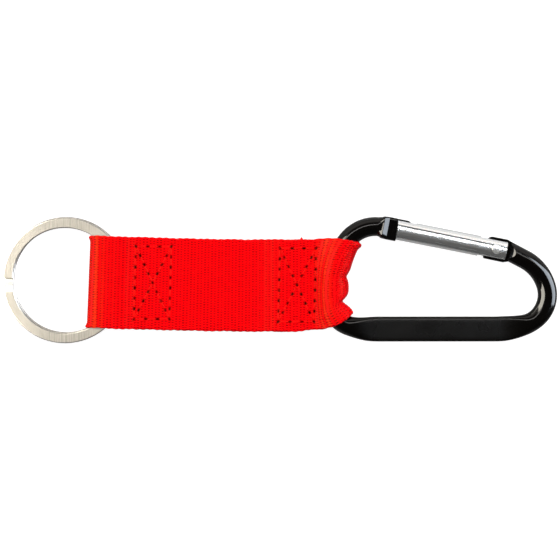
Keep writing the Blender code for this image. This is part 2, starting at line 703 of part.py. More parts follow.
def build_carabiner_end(look, keyring, carabiner_rest):
    """The sewn carabiner end, three layers thick, with the gathered loop round the frame."""
    radius = STRAP_THICKNESS / 2
    middle = STRAP_BOTTOM + radius
    tip = FLEX_CARABINER_X + 2 * radius + FLEX_GAP
    thick = STRAP_THICKNESS + WEBBING_THICKNESS
    rings = []
    for index in range(LOOP_STATIONS):
        share = index / (LOOP_STATIONS - 1)
        strap_y = STRAP_Y + WEBBING_WIDTH * (0.5 - share)
        loop_y = CARABINER_LOOP_TOP_Y + share * (CARABINER_LOOP_BOTTOM_Y - CARABINER_LOOP_TOP_Y)
        rod_x, stretch = left_side_x(loop_y)
        rod_z = frame_height(rod_x)
        reach = ROD_R + RUNNING_GAP + WEBBING_THICKNESS
        furthest = CARABINER_LOOP_REACH[0] + share * (CARABINER_LOOP_REACH[1] - CARABINER_LOOP_REACH[0])
        out = min(reach * stretch, furthest - rod_x)
        outline = [
            (tip - radius * math.sin(math.radians(a)), strap_y, middle + radius * math.cos(math.radians(a)))
            for a in range(180, -1, -30)
        ]
        outline.append((THIRD_LAYER_X - 1 * MM, strap_y, STRAP_BOTTOM + STRAP_THICKNESS))
        outline.append((THIRD_LAYER_X + 0.6 * MM, strap_y, STRAP_BOTTOM + thick))
        outline.append((CARABINER_LOOP_X, strap_y, STRAP_BOTTOM + thick))
        rise_y = (strap_y + loop_y) / 2
        outline.append((CARABINER_LOOP_RISE_X, rise_y, rod_z + reach - 1.1 * MM))
        for point in range(LOOP_ARC_POINTS):
            angle = math.radians(90 - 180 * point / (LOOP_ARC_POINTS - 1))
            outline.append((rod_x + out * math.cos(angle), loop_y, rod_z + reach * math.sin(angle)))
        outline.append((CARABINER_LOOP_RISE_X, rise_y, max(rod_z - reach, 0.0) + 0.15 * MM))
        outline.append((CARABINER_LOOP_X, strap_y, STRAP_BOTTOM))
        rings.append([Vector(point) for point in outline])
    end = mesh_object("webbing_carabiner_end", loft("webbing_carabiner_end", rings), look, keyring)
    tunnel_mesh = loft("rod_tunnel", frame_rings(RUNNING_GAP, SPINE_LEFT_X))
    tunnel = as_cutter(bpy.data.objects.new("rod_tunnel", tunnel_mesh), carabiner_rest)
    tunnel.location = (-CARABINER_REST_X, 0, 0)
    boolean(end, tunnel, "DIFFERENCE")
    return end


def box_stitch(name, length, width, look, parent, place_at, turn):
    """Lockstitch thread along a box and its two diagonals, as one flat ribbon."""
    half = THREAD_WIDTH / 2
    long = length / 2
    wide = width / 2
    far_x = long + half
    far_y = wide + half
    outer = [(-far_x, -far_y), (far_x, -far_y), (far_x, far_y), (-far_x, far_y)]
    angle = math.atan2(wide, long)
    back_x = half / math.sin(angle)
    back_y = half / math.cos(angle)
    corner_x = half + back_x
    corner_y = half + back_y
    holes = []
    for sign in (1, -1):
        holes.append([
            (sign * back_x, 0.0),
            (sign * (long - half), sign * (wide - corner_y)),
            (sign * (long - half), -sign * (wide - corner_y)),
        ])
        holes.append([
            (0.0, sign * back_y),
            (-sign * (long - corner_x), sign * (wide - half)),
            (sign * (long - corner_x), sign * (wide - half)),
        ])
    thread = flat_curve(name, [outer] + holes, THREAD_HEIGHT / 2)
    thread.data.materials.append(look)
    thread.location = place_at
    thread.rotation_euler = turn
    return place(thread, parent, PARTS)


def build_stitching(keyring, ring_hinge):
    look = material("sewing_thread", (0.55, 0.0, 0.01), 0.6, 0.0)
    radius = STRAP_THICKNESS / 2
    off = radius + THREAD_LIFT + THREAD_HEIGHT / 2
    slope = math.radians(ring_end_line())
    middle = (RING_BOX[0] + RING_BOX[1]) / 2 - FLEX_RING_X
    length = RING_BOX[1] - RING_BOX[0]
    for name, side in (("ring_end_needle_thread", 1), ("ring_end_bobbin_thread", -1)):
        x = middle + side * off * math.sin(slope)
        z = -middle * math.tan(slope) + side * off * math.cos(slope)
        box_stitch(name, length, 2 * BOX_HALF_WIDTH, look, ring_hinge, (x, 0, z), (0, slope, 0))
    middle = (CARABINER_BOX[0] + CARABINER_BOX[1]) / 2
    length = CARABINER_BOX[1] - CARABINER_BOX[0]
    top = STRAP_BOTTOM + STRAP_THICKNESS + WEBBING_THICKNESS + THREAD_LIFT + THREAD_HEIGHT / 2
    bottom = STRAP_BOTTOM - THREAD_LIFT - THREAD_HEIGHT / 2
    for name, z in (("carabiner_end_needle_thread", top), ("carabiner_end_bobbin_thread", bottom)):
        box_stitch(name, length, 2 * BOX_HALF_WIDTH, look, keyring, (middle, STRAP_Y, z), (0, 0, 0))


def main():
    keyring = empty("keyring", None, (-MIDDLE_X, -MIDDLE_Y, 0))
    ring_rest = empty("ring_rest", keyring, (0, 0, ring_height(0)), (0, -RING_TILT, 0))
    carabiner_rest = empty("carabiner_rest", keyring, (CARABINER_REST_X, 0, ROD_R), (0, CARABINER_TILT, 0))
    pivot_place = (PIVOT_X - CARABINER_REST_X, PIVOT_Y, 0)
    pivot = empty("gate_pivot", carabiner_rest, pivot_place, (0, 0, GATE_HEADING))
    build_frame(carabiner_rest, pivot)
    build_gate(pivot)
    build_rivet(pivot)
    build_plunger(pivot)
    build_spring(pivot)
    build_ring(ring_rest)
    webbing = material("red_webbing", (0.8, 0.0, 0.01), 0.7, 0.0)
    build_strap_middle(webbing, keyring)
    ring_hinge = build_ring_end(webbing, keyring)
    build_carabiner_end(webbing, keyring, carabiner_rest)
    build_stitching(keyring, ring_hinge)


clear_scene()
PARTS = collection("carabiner_keyring")
CUTTERS = collection("cutters")
main()
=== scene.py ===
"""Looks of the carabiner keyring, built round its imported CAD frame.

Shapes are worked out in millimetres, X and Y from the split ring's centre and Z up from the
surface; `row()` takes them to the frame's own origin, in metres.
"""

import math

import bmesh
import bpy
import numpy as np
from mathutils import Matrix, Vector
from mathutils.bvhtree import BVHTree


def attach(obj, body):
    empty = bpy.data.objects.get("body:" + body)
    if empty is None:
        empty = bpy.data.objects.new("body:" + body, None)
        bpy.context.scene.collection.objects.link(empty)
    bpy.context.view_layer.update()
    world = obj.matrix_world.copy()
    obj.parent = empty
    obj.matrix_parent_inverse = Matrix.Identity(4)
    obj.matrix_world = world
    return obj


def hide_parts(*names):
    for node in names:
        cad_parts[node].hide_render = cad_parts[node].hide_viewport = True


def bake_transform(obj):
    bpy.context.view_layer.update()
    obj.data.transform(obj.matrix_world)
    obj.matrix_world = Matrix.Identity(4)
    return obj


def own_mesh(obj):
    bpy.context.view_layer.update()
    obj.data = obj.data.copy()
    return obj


MM = 0.001
MIDDLE = np.array([58.65, 0.17, 0.0])    # the whole object's middle, from the ring's centre

# Webbing
WIDTH = 25.0
THICKNESS = 1.2
LAYER_STEP = 1.3                          # from one layer's middle to the next
LOW_LAYER = 1.15                          # middle of the layer that lies on the surface
SPLIT_X = 43.35                           # the strip is shown as two pieces that meet here
RIB = 1.88                                # pitch of the ribs
YARN = 0.68                               # pitch of the warp yarns on one rib
RIB_STEPS = 8
YARN_STEPS = 4
RIB_RISE = 0.085
YARN_CROWN = 0.11
RELIEF = RIB_RISE + YARN_CROWN
STRAP_LEAN = math.radians(1.6)            # how far the strap turns in plan towards the ring

# Ring loop
RING_FOLD_X = 6.95
RING_LOOP_HALF = 1.94
RING_TILT = 3.5
RING_PLANE = 2.082                        # height of the ring's middle plane at its centre
RING_OUTER_R = 17.1
RING_INNER_R = 14.4
COIL_HALF = 0.5                           # half the thickness of one coil
COIL_PITCH = 1.08                         # from one coil's middle to the next
RING_END = 177.0                          # where the upper coil's cut end lies, in degrees
RING_WOUND = 705.0                        # degrees of wire in the two coils together

# Carabiner loop
SEAM_X = 68.0                             # where the cloth leaves the seam for the frame
SEAM_LOW = -13.45                         # the cloth's lower edge there
SEAM_WIDTH = 24.65                        # and its width there
TAIL_X = 57.5                             # end of the lower layer
TAIL_START = 65.0                         # end of the layer that is sewn inside

# Carabiner frame, as in the CAD
ROD_R = 2.6
SPINE_Y = -13.2
SPINE_X = (83.6, 117.3)
NOSE_BENDS = [(22.1, 16.0), (6.7, 61.5), (21.8, 51.9), (9.75, 50.6), (10.0, 11.1)]
HINGE_BENDS = [(31.0, 15.3), (8.6, 91.2), (11.9, 46.0)]
NOSE_PARTS = [0.12, 0.05, 1.15, 0.05, 3.0]   # the nose block's lip, edge, slope, edge and face
ARM = 5.2                                 # straight length before the hinge
REST_X = 131.9                            # where the rod lies on the surface
TILT = 1.6                                # rise of the frame from there to the strap, in degrees
PIVOT = (117.7, 8.6)
GATE_HEADING = 168.9                      # direction from the hinge to the nose, in degrees
GATE_R = 2.75
GATE_BACK = 2.77                          # from the pivot to the tube's end behind it
GATE_FRONT = 27.75                        # and to its end at the nose
RIVET_R = 1.34

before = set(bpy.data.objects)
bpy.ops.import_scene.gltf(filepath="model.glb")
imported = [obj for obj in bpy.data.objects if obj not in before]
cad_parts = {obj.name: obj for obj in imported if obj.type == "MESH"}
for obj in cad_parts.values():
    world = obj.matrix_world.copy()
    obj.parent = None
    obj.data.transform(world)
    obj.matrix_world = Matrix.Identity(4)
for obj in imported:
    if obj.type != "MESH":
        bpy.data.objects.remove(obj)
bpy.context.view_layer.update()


# ---------------------------------------------------------------- helpers

def row(points):
    """Millimetres from the ring's centre to metres in the row frame."""
    return (np.asarray(points, float) - MIDDLE) * MM


def smooth(value):
    value = np.clip(value, 0.0, 1.0)
    return value * value * (3 - 2 * value)


def eased(x, knots, window=1.2):
    """A broken line through knots, rounded off by averaging over a window."""
    knot_x, knot_y = zip(*knots)
    offsets = np.linspace(-window, window, 9)
    return np.mean([np.interp(np.asarray(x) + o, knot_x, knot_y) for o in offsets], axis=0)


def mesh_object(name, points, faces, material=None, angle=None):
    mesh = bpy.data.meshes.new(name)
    mesh.from_pydata([tuple(p) for p in np.asarray(points).reshape(-1, 3)], [], faces)
    mesh.update()
    thing = bpy.data.objects.new(name, mesh)
    bpy.context.scene.collection.objects.link(thing)
    if material:
        mesh.materials.append(material)
    mesh.shade_smooth()
    if angle:
        mesh.set_sharp_from_angle(angle=math.radians(angle))
    return thing


def add_attribute(thing, name, values):
    made = thing.data.attributes.new(name, "FLOAT", "POINT")
    made.data.foreach_set("value", np.asarray(values, np.float32).ravel())


def outward(thing):
    work = bmesh.new()
    work.from_mesh(thing.data)
    bmesh.ops.recalc_face_normals(work, faces=work.faces)
    work.to_mesh(thing.data)
    work.free()
    return thing


def tube_faces(stations, sides):
    """Faces of a closed tube whose points come station by station."""
    faces = []
    for i in range(stations - 1):
        here = i * sides
        there = here + sides
        for j in range(sides):
            k = (j + 1) % sides
            faces.append((here + j, here + k, there + k, there + j))
    faces.append(tuple(range(sides - 1, -1, -1)))
    faces.append(tuple(range((stations - 1) * sides, stations * sides)))
    return faces


class Shader:
    """A material's or world's node tree, written as short calls."""

    def __init__(self, owner):
        owner.use_nodes = True
        self.tree = owner.node_tree

    def node(self, kind, **settings):
        made = self.tree.nodes.new(kind)
        for name, value in settings.items():
            setattr(made, name, value)
        return made

    def put(self, value, socket):
        if isinstance(value, bpy.types.NodeSocket):
            self.tree.links.new(value, socket)
        elif value is not None:
            socket.default_value = value

    def math(self, operation, a, b=None, c=None, clamp=False):
        made = self.node("ShaderNodeMath", operation=operation, use_clamp=clamp)
        for value, socket in zip((a, b, c), made.inputs):
            self.put(value, socket)
        return made.outputs[0]

    def attribute(self, name):
        return self.node("ShaderNodeAttribute", attribute_name=name).outputs["Fac"]

    def combine(self, x, y, z=0.0):
        made = self.node("ShaderNodeCombineXYZ")
        for value, socket in zip((x, y, z), made.inputs):
            self.put(value, socket)
        return made.outputs[0]

    def separate(self, vector):
        made = self.node("ShaderNodeSeparateXYZ")
        self.put(vector, made.inputs[0])
        return made.outputs

    def scale(self, x, by_x, y, by_y):
        """Two coordinates, each times its own factor, as a vector."""
        return self.combine(self.math("MULTIPLY", x, by_x), self.math("MULTIPLY", y, by_y))

    def noise(self, vector, scale, detail=2.0, roughness=0.5):
        made = self.node("ShaderNodeTexNoise")
        self.put(vector, made.inputs["Vector"])
        made.inputs["Scale"].default_value = scale
        made.inputs["Detail"].default_value = detail
        made.inputs["Roughness"].default_value = roughness
        return made.outputs["Fac"]

    def range(self, value, low, high, to_low=0.0, to_high=1.0, smooth_ends=False):
        made = self.node("ShaderNodeMapRange")
        if smooth_ends:
            made.interpolation_type = "SMOOTHSTEP"
        for given, socket in zip((value, low, high, to_low, to_high), made.inputs):
            self.put(given, socket)
        return made.outputs[0]

    def mix(self, share, a, b):
        made = self.node("ShaderNodeMix", data_type="RGBA")
        self.put(share, made.inputs["Factor"])
        self.put(a, made.inputs[6])
        self.put(b, made.inputs[7])
        return made.outputs[2]

    def bump(self, height, strength, distance):
        made = self.node("ShaderNodeBump")
        self.put(height, made.inputs["Height"])
        made.inputs["Strength"].default_value = strength
        made.inputs["Distance"].default_value = distance
        return made.outputs["Normal"]

    def surface(self, **values):
        shader = self.tree.nodes["Principled BSDF"]
        for name, value in values.items():
            self.put(value, shader.inputs[name.replace("_", " ")])
        return shader


def material(name):
    made = bpy.data.materials.new(name)
    return made, Shader(made)


# ---------------------------------------------------------------- materials

def webbing_material():
    made, s = material("webbing_red")
    along = s.attribute("along")
    across = s.attribute("across")
    pit = s.attribute("pit")
    angle = s.math("MULTIPLY", along, math.pi / RIB)
    swing = s.math("COSINE", angle)
    lean = s.math("MULTIPLY", swing, s.math("SINE", angle))
    # The painted gap shade is a little weaker on one side of each rib than on the other, as light
    # from one side would make it.
    side = s.range(lean, -0.1, 0.1, 1.0, 0.85)

    def yarn(shift, turn):
        """One set of warp yarns: its height, and a mask of painted shade in the gaps where
        neighbours dive together.
        """
        place = s.math("MULTIPLY_ADD", across, 1 / YARN, shift)
        share = s.math("SUBTRACT", s.math("FRACT", place), 0.5)
        square = s.math("MULTIPLY", s.math("MULTIPLY", share, share), 4.0)
        fourth = s.math("MULTIPLY", square, square)
        hump = s.math("SQRT", s.math("MAXIMUM", s.math("SUBTRACT", 1.0, fourth), 0.0))
        crown = s.math("MULTIPLY", hump, YARN_CROWN)
        height = s.math("MULTIPLY_ADD", swing, turn * RIB_RISE, crown)
        off = s.math("ABSOLUTE", s.math("SUBTRACT", s.math("MULTIPLY", swing, turn), 0.66))
        near_edge = s.range(square, 0.24, 0.74, smooth_ends=True)
        return height, s.math("MULTIPLY", near_edge, s.range(off, 0.37, 0.13, smooth_ends=True))

    first, first_gap_shade = yarn(0.5, 1.0)
    second, second_gap_shade = yarn(0.0, -1.0)
    height = s.math("MAXIMUM", first, second)
    grain = s.noise(s.scale(along, 0.35, across, 5.0), 1.0, 3.0)
    patch = s.noise(s.combine(along, across), 0.45, 2.0)
    # Painted shade in the gaps between the yarns, stronger in random patches and on one side of
    # each rib.
    shade_strength = s.math("MULTIPLY", s.range(patch, 0.36, 0.62, 0.55, 1.0), side)
    dot = s.math("MULTIPLY", s.math("MAXIMUM", first_gap_shade, second_gap_shade), shade_strength)
    # Painted shade in the needle holes as well.
    painted_shade = s.math("MAXIMUM", dot, s.math("MULTIPLY", pit, 1.4), clamp=True)
    # Painted glints: small orange dashes scattered through the red stand in for light caught on
    # single fibres.
    painted_glint_noise = s.noise(s.scale(along, 1.6, across, 3.2), 1.0, 3.0, 0.7)
    red = s.mix(grain, (0.93, 0.0, 0.003, 1), (1.0, 0.0, 0.004, 1))
    red_with_painted_light = s.mix(s.range(painted_glint_noise, 0.62, 0.74, 0.0, 0.5), red, (1.0, 0.045, 0.006, 1))
    # Painted highlight: orange light on the yarn crowns of the ribs beside both loops, where the
    # curving cloth would catch the side lights.
    crest = s.math("ABSOLUTE", s.math("SINE", s.math("MULTIPLY", across, math.pi * 2 / YARN)))
    rib_top = s.range(s.math("ABSOLUTE", swing), 0.6, 0.95)
    highlight_crowns = s.math("MULTIPLY", s.range(crest, 0.55, 0.95), rib_top)
    highlight_flicker = s.range(painted_glint_noise, 0.35, 0.6, 0.35, 1.0)
    painted_highlight = s.math("MULTIPLY", s.math("MULTIPLY", s.attribute("painted_highlight"), highlight_crowns), highlight_flicker)
    red_with_painted_light = s.mix(painted_highlight, red_with_painted_light, (1.0, 0.085, 0.014, 1))
    # The painted shade takes the red towards near black.
    colour = s.mix(painted_shade, red_with_painted_light, (0.02, 0.0, 0.0, 1))
    sunk = s.math("SUBTRACT", height, s.math("MULTIPLY", pit, 0.1))
    bumpy = s.math("MULTIPLY_ADD", grain, 0.03, sunk)
    s.surface(
        Base_Color=colour,
        Roughness=0.36,
        Specular_IOR_Level=0.035,
        Specular_Tint=(1.0, 0.3, 0.12, 1),
        Normal=s.bump(bumpy, 0.3, 0.001),
    )
    return made


def thread_material():
    made, s = material("thread_red")
    place = s.node("ShaderNodeTexCoord").outputs["Object"]
    twist = s.noise(place, 2200.0, 2.0)
    s.surface(
        Base_Color=s.mix(twist, (0.8, 0.0, 0.002, 1), (1.0, 0.006, 0.005, 1)),
        Roughness=0.45,
        Specular_IOR_Level=0.05,
        Specular_Tint=(1.0, 0.3, 0.12, 1),
        Normal=s.bump(twist, 0.4, 0.0001),
    )
    return made


def frame_material():
    made, s = material("frame_black")
    place = s.node("ShaderNodeTexCoord").outputs["Object"]
    pressed = s.attribute("pressed")
    grain = s.noise(place, 5200.0, 3.0)
    wear = s.noise(place, 90.0, 3.0)
    rough = s.math("MULTIPLY_ADD", pressed, 0.17, s.range(wear, 0.3, 0.7, 0.08, 0.13))
    s.surface(
        Base_Color=s.mix(grain, (0.0009, 0.0008, 0.0007, 1), (0.0022, 0.0018, 0.0015, 1)),
        Roughness=rough,
        Specular_IOR_Level=0.22,
        Normal=s.bump(s.math("MULTIPLY", grain, pressed), 0.25, 0.00004),
    )
    return made


def gate_material():
    """Drawn aluminium tube: fine lines along its axis, and a painted dark reflection line along its
    upper side.
    """
    made, s = material("gate_silver")
    place = s.separate(s.node("ShaderNodeTexCoord").outputs["Object"])
    angle = s.math("ARCTAN2", place[1], place[2])
    lines = s.noise(s.scale(place[0], 30.0, angle, 14.0), 1.0, 4.0, 0.6)
    scratch = s.noise(s.scale(place[0], 110.0, angle, 60.0), 1.0, 3.0)
    # Painted reflection: a dark line along the tube's upper side, slanting a little along its
    # length, stands in for the reflected gap between two lights.
    painted_reflection_offset = s.math("ABSOLUTE", s.math("ADD", angle, s.math("MULTIPLY_ADD", place[0], 5.0, 0.33)))
    silver = s.mix(lines, (0.66, 0.68, 0.69, 1), (0.9, 0.91, 0.92, 1))
    s.surface(
        Base_Color=s.mix(s.range(painted_reflection_offset, 0.03, 0.11), (0.1, 0.11, 0.11, 1), silver),
        Metallic=1.0,
        Roughness=s.range(lines, 0.3, 0.7, 0.2, 0.28),
        Normal=s.bump(s.math("ADD", lines, scratch), 0.18, 0.0001),
    )
    return made


def steel_material(name, colour, rough):
    made, s = material(name)
    place = s.node("ShaderNodeTexCoord").outputs["Object"]
    grain = s.noise(place, 1500.0, 3.0)
    darker = tuple(0.8 * c for c in colour[:3]) + (1,)
    s.surface(
        Base_Color=s.mix(grain, darker, colour),
        Metallic=1.0,
        Roughness=s.range(grain, 0.3, 0.7, rough - 0.05, rough + 0.05),
        Normal=s.bump(grain, 0.15, 0.00005),
    )
    return made


def ring_material():
    """Nickel plate with brush marks that run along Y; at the ring's top and bottom, where the wire
    runs across them, the marks are darkened as painted shade of the brushed reflection.
    """
    made, s = material("ring_nickel")
    place = s.separate(s.node("ShaderNodeTexCoord").outputs["Object"])
    brushed = s.noise(s.scale(place[0], 4200.0, place[1], 160.0), 1.0, 3.0, 0.6)
    square = s.math("MULTIPLY_ADD", place[0], place[0], s.math("MULTIPLY", place[1], place[1]))
    share = s.math("DIVIDE", s.math("ABSOLUTE", place[1]), s.math("SQRT", square))
    # Painted shade: the brush streaks darken the colour mainly where the wire runs across them,
    # standing in for how the brushed surface reflects less there.
    crosswise = s.range(share, 0.8, 0.98, 0.15, 1.0, smooth_ends=True)
    brush_marks_and_shade = s.math("MULTIPLY", s.range(brushed, 0.38, 0.62, smooth_ends=True), crosswise)
    s.surface(
        Base_Color=s.mix(brush_marks_and_shade, (0.34, 0.325, 0.3, 1), (0.225, 0.22, 0.205, 1)),
        Metallic=1.0,
        Roughness=s.range(brushed, 0.3, 0.7, 0.28, 0.38),
        Normal=s.bump(brushed, 0.1, 0.0001),
    )
    return made


# ---------------------------------------------------------------- webbing

def weave(along, across):
    """Height of a ribbed weave above its lowest yarns: two sets of warp yarns take turns on top."""
    def yarn(shift):
        share = (across / YARN + shift) % 1.0 - 0.5
        return np.sqrt(np.maximum(1 - (2 * share) ** 4, 0))

    swing = RIB_RISE * np.cos(math.pi * along / RIB)
    return np.maximum(swing + YARN_CROWN * yarn(0.5), YARN_CROWN * yarn(0.0) - swing)


def centre_y(x):
    """Centre line of the strap in plan: it lies slightly askew towards the ring."""
    bend = np.clip((60 - np.asarray(x, float)) / 34, 0, None)
    inside = np.minimum(bend, 1)
    area = 34 * (inside ** 3 - inside ** 4 / 2) + 34 * np.maximum(bend - 1, 0)
    return -1.35 + math.tan(STRAP_LEAN) * area


def slew(x):
    return STRAP_LEAN * smooth((60 - np.asarray(x, float)) / 34)


def ring_end_middle(x):
    """Height of the strap's middle from the ring loop to the split."""
    ring_x = 16.9
    ring_z = RING_PLANE + ring_x * math.tan(math.radians(RING_TILT))
    knots = [(0, RING_PLANE), (ring_x, ring_z), (19.5, 2.93), (32.2, 1.8), (60, 1.8)]
    return eased(x, knots, 1.5)


def ring_end_half(x):
    together = LAYER_STEP / 2
    knots = [(0, RING_LOOP_HALF), (15.4, RING_LOOP_HALF), (18.9, together), (60, together)]
    return eased(x, knots)


def resample(points, steps):
    """A dense polyline's points, spaced evenly into a number of steps."""
    gaps = np.linalg.norm(np.diff(points, axis=0), axis=1)
    run = np.concatenate([[0], np.cumsum(gaps)])
    wanted = np.linspace(0, run[-1], steps + 1)
    spaced = [np.interp(wanted, run, points[:, k]) for k in range(points.shape[1])]
    return np.stack(spaced, axis=1), run[-1]


def across_values():
    count = 2 * round(WIDTH / 2 / YARN * YARN_STEPS)
    return (np.arange(count + 1) - count / 2) * YARN / YARN_STEPS


def flat_rows(profile, across):
    """Rows of points across the strap, one for each (x, z) of a side profile."""
    x = profile[:, 0][:, None]
    lean = slew(x)
    y = centre_y(x) + across[None, :] * np.cos(lean)
    z = np.repeat(profile[:, 1][:, None], len(across), 1)
    return np.stack([x + across[None, :] * np.sin(lean), y, z], axis=2)


def sheet(middle, along, across, pits=()):
    """Points, faces and attributes of one length of webbing round its middle surface."""
    rows, columns = middle.shape[:2]
    du = np.gradient(middle, axis=0)
    dv = np.gradient(middle, axis=1)
    normal = np.cross(du, dv)
    normal /= np.linalg.norm(normal, axis=2, keepdims=True)
    edge = np.minimum(across - across[0], across[-1] - across)
    rounding = np.sqrt(1 - np.clip(1 - edge / 0.5, 0, 1) ** 2 * 0.9)[None, :, None]
    lift = (THICKNESS / 2 - RELIEF + weave(along[:, None], across[None, :]))[:, :, None]
    beat = 0.07 * np.cos(2 * math.pi * along / RIB)[:, None]
    selvedge = np.clip(1 - edge / 0.6, 0, 1)[None, :] * beat
    wave = 0.1 * np.sin(along * 0.52 + 1.0)[:, None] * np.clip(1 - edge / 2.5, 0, 1)[None, :]
    sideways = np.sign(across)[None, :] * selvedge + wave
    pit = np.zeros((rows, columns))
    top = middle + normal * lift * rounding
    top[:, :, 1] += sideways
    for px, py, run_x, run_y in pits:
        dx = top[:, :, 0] - px
        dy = top[:, :, 1] - py
        depth = 0.95 + 0.15 * math.sin(7.3 * px + 3.1 * py)
        lengthwise = (dx * run_x + dy * run_y) / 0.5
        crosswise = (dx * run_y - dy * run_x) / 0.3
        hole = depth * np.exp(-lengthwise ** 2 - crosswise ** 2)
        pit = np.maximum(pit, hole * (normal[:, :, 2] > 0.2))
    top -= normal * (0.25 * pit)[:, :, None]
    last = [columns - 6, columns - 3, columns - 1]
    coarse = np.unique(np.concatenate([[0, 2, 5], np.arange(8, columns - 6, 8), last]))
    under = (middle - normal * THICKNESS / 2 * rounding)[:, coarse]
    under[:, :, 1] += sideways[:, coarse]
    points = np.concatenate([top.reshape(-1, 3), under.reshape(-1, 3)])
    base = rows * columns
    wide = len(coarse)
    faces = []
    for i in range(rows - 1):
        a = i * columns
        b = a + columns
        faces.extend((a + j, b + j, b + j + 1, a + j + 1) for j in range(columns - 1))
        c = base + i * wide
        d = c + wide
        faces.extend((c + j, c + j + 1, d + j + 1, d + j) for j in range(wide - 1))
        faces.append((a, c, d, b))
        faces.append((a + columns - 1, b + columns - 1, d + wide - 1, c + wide - 1))
    for i, turn in ((0, 1), (rows - 1, -1)):
        loop = list(range(i * columns, (i + 1) * columns))
        loop += list(range(base + (i + 1) * wide - 1, base + i * wide - 1, -1))
        faces.append(tuple(loop[::turn]))
    # Where the painted highlight lies: across the cloth just past the ring's fold and just past the
    # seam, on upward faces only.
    past_ring_fold = top[:, :, 0] - RING_FOLD_X - 1.3
    past_seam = top[:, :, 0] - 70.3 - 0.012 * (top[:, :, 1] + 1.5) ** 2
    painted_highlight = np.maximum(np.exp(-(past_ring_fold / 1.9) ** 2), np.exp(-(past_seam / 1.6) ** 2))
    attributes = {
        "painted_highlight": np.concatenate([(painted_highlight * (normal[:, :, 2] > 0)).ravel(), np.zeros(rows * wide)]),
        "along": np.concatenate([np.repeat(along, columns), np.repeat(along, wide)]),
        "across": np.concatenate([np.tile(across, rows), np.tile(across[coarse], rows)]),
        "pit": np.concatenate([pit.ravel(), np.zeros(rows * wide)]),
    }
    return points, faces, attributes


def webbing_object(name, sheets, look):
    points = []
    faces = []
    attributes = {"along": [], "across": [], "pit": [], "painted_highlight": []}
    offset = 0
    for sheet_points, sheet_faces, sheet_attributes in sheets:
        points.append(sheet_points)
        faces.extend(tuple(offset + index for index in face) for face in sheet_faces)
        offset += len(sheet_points)
        for key, values in sheet_attributes.items():
            attributes[key].append(values)
    thing = mesh_object(name, row(np.concatenate(points)), faces, look, 50)
    for key, values in attributes.items():
        add_attribute(thing, key, np.concatenate(values))
    return thing


def ring_side(look, pits):
    """The strap from the split, round the split ring and back, as one sheet."""
    reach = 1.9
    xs = np.linspace(SPLIT_X, RING_FOLD_X + reach, 400)
    bottom = np.stack([xs, ring_end_middle(xs) - ring_end_half(xs)], axis=1)
    turn = np.linspace(0, math.pi, 60)[1:-1]
    fold_x = RING_FOLD_X + reach * (1 - np.sin(turn))
    fold = np.stack([fold_x, ring_end_middle(fold_x) - RING_LOOP_HALF * np.cos(turn)], axis=1)
    top = np.stack([xs, ring_end_middle(xs) + ring_end_half(xs)], axis=1)[::-1]
    path = np.concatenate([bottom, fold, top])
    length = resample(path, 10)[1]
    ribs = 2 * round(length / RIB / 2)
    profile, _ = resample(path, ribs * RIB_STEPS)
    along = (np.arange(len(profile)) / RIB_STEPS - ribs - 0.5) * RIB
    across = across_values()
    middle = flat_rows(profile, across)
    near_fold = np.exp(-((profile[:, 0] - RING_FOLD_X) / 1.5) ** 2)[:, None]
    edge = np.minimum(across - across[0], across[-1] - across)[None, :]
    flare = 0.55 * np.exp(-(edge / 0.9) ** 2)
    middle[:, :, 0] += near_fold * (0.012 * across[None, :] - flare)
    thing = webbing_object("webbing_ring_side", [sheet(middle, along, across, pits)], look)
    return thing, length


# ---------------------------------------------------------------- carabiner loop

def walk(start, heading, moves, step):
    """Points and headings along (length, None) straights and (radius, degrees) bends."""
    points = [(np.array(start, float), heading)]
    here = np.array(start, float)
    for size, turn in moves:
        length = size if turn is None else size * math.radians(abs(turn))
        pieces = max(1, math.ceil(length / step))
        for _ in range(pieces):
            swing = 0.0 if turn is None else turn / pieces
            middle = math.radians(heading + swing / 2)
            here = here + length / pieces * np.array([math.cos(middle), math.sin(middle)])
            heading += swing
            points.append((here, heading))
    return points


def centreline(step=0.5):
    """The frame's rod in plan, from the nose's end through the loop and the spine to the hinge."""
    nose_moves = [(radius, -turn) for radius, turn in NOSE_BENDS]
    nose_moves += [(length, None) for length in NOSE_PARTS]
    nose = walk((SPINE_X[0], SPINE_Y), 180.0, nose_moves, step)
    hinge = walk((SPINE_X[1], SPINE_Y), 0.0, HINGE_BENDS + [(ARM, None)], step)
    spine = walk((SPINE_X[0], SPINE_Y), 0.0, [(SPINE_X[1] - SPINE_X[0], None)], 2.0)
    return [(point, heading + 180.0) for point, heading in reversed(nose)] + spine[1:-1] + hinge


def rod_x(y):
    """X of the frame's left side at a given Y."""
    line = np.array([point for point, _ in centreline(0.3) if point[0] < SPINE_X[0]])
    order = np.argsort(line[:, 1])
    return np.interp(y, line[order, 1], line[order, 0])


def frame_height(x):
    return ROD_R + (REST_X - np.asarray(x)) * math.sin(math.radians(TILT))


def fold_line(v):
    """Plan of the gathered fold, from the strap's bottom edge (v = 0) to its top edge (v = 1)."""
    y = -9.2 + 19.8 * v
    bow = 76.95 + 0.0245 * (y + 1.5) ** 2
    for where, depth, reach in ((1.2, 0.75, 1.3), (-5.7, 2.1, 1.6)):
        bow = bow - depth * np.exp(-((y - where) / reach) ** 2)
    spur = 0.5 * np.exp(-((y - 9.45) / 0.45) ** 2) - 0.95 * smooth((y - 9.6) / 1.0)
    return np.stack([bow + spur, y], axis=-1)


def loop_plan(s, v):
    """Plan of the loop's cloth: s from the seam (0) to the fold (1), v across the strap."""
    seam = np.stack([np.full_like(v, SEAM_X), SEAM_LOW + SEAM_WIDTH * v], axis=-1)
    s = s[..., None]
    share = v[..., None]
    plan = (1 - s) * seam + s * fold_line(v)
    hump = 4 * s * (1 - s)
    return plan + hump * (share * np.array([0.3, 0.55]) + (1 - share) * np.array([0.2, -1.1]))


